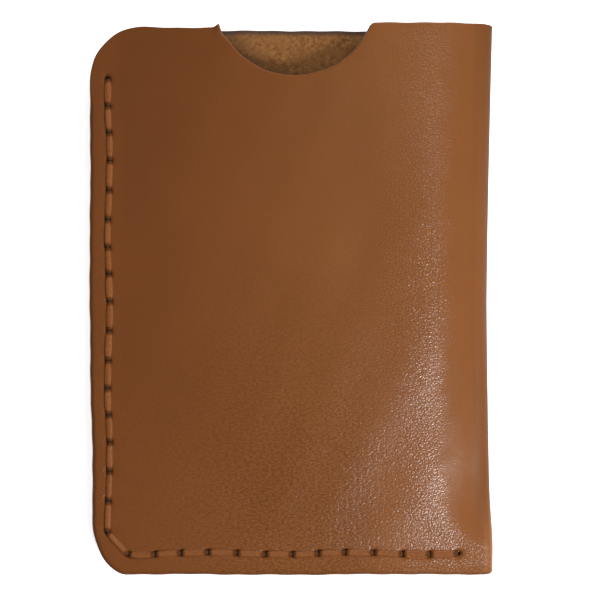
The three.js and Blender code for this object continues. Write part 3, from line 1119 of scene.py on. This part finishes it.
def leather_material():
    """Glazed tan leather, with the grain open over the shoulder and stretched smooth by the fold."""
    nodes = Nodes("tan_leather")
    place = nodes.blank_place()
    across, upward = blank_sides(nodes, place)
    shoulder, by_fold = grain_zones(nodes, place)
    by_shoulder = nodes.times(shoulder, nodes.less(1.0, by_fold))
    on_edge = nodes.times(nodes.span(across, *FOLD_EDGE), nodes.span(across, *FOLD_EDGE_END))
    # Rubbing on the fold's round, which makes it rougher and duller, and painted shade that darkens its
    # colour
    fold_rub_and_shade = nodes.times(on_edge, nodes.span(upward, *FOLD_RUB_AND_SHADE))
    cells = grain_cells(nodes, place)
    wear = nodes.attribute("edge_wear")
    hole_shade = nodes.attribute("hole_grime")

    base = leather_colour(nodes, place, cells, by_fold, fold_rub_and_shade)
    base = nodes.mix(nodes.span(wear, 0.5, 1.0, 0.0, 0.45), base, TAN_RUBBED_EDGE)
    # Painted shade darkens the leather round the stitching holes
    nodes.shade("Base Color", nodes.mix(nodes.span(hole_shade, 0.05, 0.95), base, HOLE_SHADE_COLOUR))
    nodes.shade("Roughness", leather_roughness(nodes, place, by_shoulder, by_fold, fold_rub_and_shade))
    nodes.shade("IOR", 1.46)
    nodes.shade("Specular IOR Level", leather_shine(nodes, place, wear, hole_shade, by_fold, fold_rub_and_shade))
    nodes.shade("Normal", nodes.bump(grain_height(nodes, cells, upward, shoulder, by_fold), GRAIN_BUMP))
    return nodes.material


def suede_material():
    """The flesh side: blotchy, matt, with painted shade down in the pocket, and a dark line at the cut edge.
    """
    nodes = Nodes("suede_inside")
    place = nodes.blank_place()
    fibre = nodes.span(nodes.noise(place, 1.3, 5.0, 0.65, 0.5), 0.3, 0.7)
    base = nodes.mix(fibre, SUEDE_DARK, SUEDE_LIGHT)
    blotch = nodes.span(nodes.noise(place, 0.35, 2.0), 0.35, 0.65, 0.0, 0.6)
    base = nodes.mix(blotch, base, SUEDE_BLOTCH)
    # Painted shade: the suede darkens where it runs in under the front panel
    base = nodes.mix(nodes.times(nodes.attribute("pocket_depth"), 0.6), base, SUEDE_POCKET_SHADE)
    base = nodes.mix(nodes.span(nodes.attribute("edge_wear"), 0.4, 0.75, 0.0, 0.85), base, SUEDE_EDGE)
    nodes.shade("Base Color", base)
    nodes.shade("Roughness", 0.95)
    nodes.shade("Specular IOR Level", 0.3)
    nodes.shade("Normal", nodes.bump(nodes.noise(place, 2.2, 6.0, 0.7), 0.16))
    return nodes.material


def edge_material():
    """The cut edges, burnished dark and matt, with painted shade in the hole walls."""
    nodes = Nodes("burnished_edge")
    streak = nodes.noise(nodes.blank_place(), 1.2, 4.0, 0.6)
    base = nodes.mix(nodes.span(streak, 0.3, 0.7), BURNISH_DARK, BURNISH_LIGHT)
    # Painted shade darkens the hole walls
    nodes.shade("Base Color", nodes.mix(nodes.span(nodes.attribute("hole_grime"), 0.1, 0.9), base, HOLE_SHADE_COLOUR))
    nodes.shade("Roughness", 0.8)
    nodes.shade("Specular IOR Level", 0.1)
    nodes.shade("Normal", nodes.bump(streak, 0.08))
    return nodes.material


def thread_material():
    """Waxed thread, darkened with painted shade where it goes into a hole, with flecks of wax that shine."""
    nodes = Nodes("waxed_thread")
    place = nodes.uv("thread", (9.0, 1.0, 1))
    fibre = nodes.noise(place, 1.8, 3.0, 0.6)
    hole_shade = nodes.attribute("hole_grime")
    base = nodes.mix(nodes.span(fibre, 0.3, 0.7), THREAD_DARK, THREAD_LIGHT)
    wax = nodes.span(nodes.noise(place, 2.6, 2.0), 0.55, 0.65, 0.02, 0.6)
    nodes.shade("Base Color", nodes.mix(nodes.span(hole_shade, 0.15, 0.9), base, HOLE_SHADE_COLOUR))
    nodes.shade("Roughness", 0.6)
    nodes.shade("Specular IOR Level", nodes.span(hole_shade, 0.1, 0.7, 0.25, 0.0))
    nodes.shade("Coat Weight", nodes.times(wax, nodes.span(hole_shade, 0.1, 0.5, 1.0, 0.0)))
    nodes.shade("Coat Roughness", 0.15)
    nodes.shade("Normal", nodes.bump(fibre, 0.05))
    return nodes.material


def floor_material():
    nodes = Nodes("white_floor")
    nodes.shade("Base Color", (0.92, 0.92, 0.92, 1))
    nodes.shade("Emission Color", WHITE)
    nodes.shade("Emission Strength", 0.85)
    nodes.shade("Roughness", 0.9)
    nodes.shade("Specular IOR Level", 0.0)
    return nodes.material


# ---------------------------------------------------------------- the studio

UPPER_PANEL = 0.78
RIGHT_PANEL = 0.24
LOWER_PANEL = 0.72
KEY = 0.75
WORLD = 0.02
CAMERA_HEIGHT = 300.0
PHOTO_SPAN = 106.9
SENSOR = 36.0
CAMERA_X = 1.59
CAMERA_Y = 0.05
SEAM_HEIGHT = 4.7
FLOOR_HALF = 3.0
FLOOR_DROP = 0.05


def make_camera():
    data = bpy.data.cameras.new("camera")
    data.sensor_width = SENSOR
    data.lens = SENSOR * (CAMERA_HEIGHT - SEAM_HEIGHT) / PHOTO_SPAN
    data.clip_start = 0.01
    camera = bpy.data.objects.new("camera", data)
    camera.location = (CAMERA_X * MM, CAMERA_Y * MM, CAMERA_HEIGHT * MM)
    bpy.context.scene.collection.objects.link(camera)
    bpy.context.scene.camera = camera


def make_floor():
    mesh = bpy.data.meshes.new("floor")
    corners = [(-1, -1), (1, -1), (1, 1), (-1, 1)]
    places = [(x * FLOOR_HALF, y * FLOOR_HALF, -FLOOR_DROP * MM) for x, y in corners]
    mesh.from_pydata(places, [], [(0, 1, 2, 3)])
    mesh.materials.append(floor_material())
    floor = bpy.data.objects.new("floor", mesh)
    bpy.context.scene.collection.objects.link(floor)


def soft_light(name, compass, elevation, distance, size, watts):
    """A soft lamp that faces the sleeve from a compass angle and an elevation, in degrees."""
    compass, elevation = math.radians(compass), math.radians(elevation)
    across = math.cos(elevation)
    toward = Vector((math.cos(compass) * across, math.sin(compass) * across, math.sin(elevation)))
    data = bpy.data.lights.new(name, "AREA")
    data.shape = "RECTANGLE"
    data.size, data.size_y = size
    data.energy = watts
    lamp = bpy.data.objects.new(name, data)
    lamp.location = toward * distance
    lamp.rotation_mode = "QUATERNION"
    lamp.rotation_quaternion = toward.to_track_quat("Z", "Y")
    lamp.visible_camera = False
    bpy.context.scene.collection.objects.link(lamp)


def make_lights():
    """Soft panels round the right side, and a small key low on the right for the shoulder's highlight."""
    soft_light("upper_panel", compass=66, elevation=44, distance=0.35, size=(0.22, 0.22), watts=UPPER_PANEL)
    soft_light("right_panel", compass=5, elevation=26, distance=0.4, size=(0.4, 0.3), watts=RIGHT_PANEL)
    soft_light("lower_panel", compass=-42, elevation=40, distance=0.35, size=(0.22, 0.22), watts=LOWER_PANEL)
    soft_light("key", compass=-50.5, elevation=58.5, distance=0.5, size=(0.06, 0.06), watts=KEY)
    world = bpy.data.worlds.new("studio")
    world.use_nodes = True
    world.node_tree.nodes["Background"].inputs["Color"].default_value = (1, 1, 1, 1)
    world.node_tree.nodes["Background"].inputs["Strength"].default_value = WORLD
    bpy.context.scene.world = world
    bpy.context.scene.view_settings.view_transform = "Standard"


# ---------------------------------------------------------------- the scene

make_camera()
make_floor()
make_lights()

sleeve = make_leather([leather_material(), suede_material(), edge_material()])
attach(sleeve, "root")
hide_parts("leather_body")

thread = make_thread(thread_material())
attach(thread, "root")
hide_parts("sewing_thread")
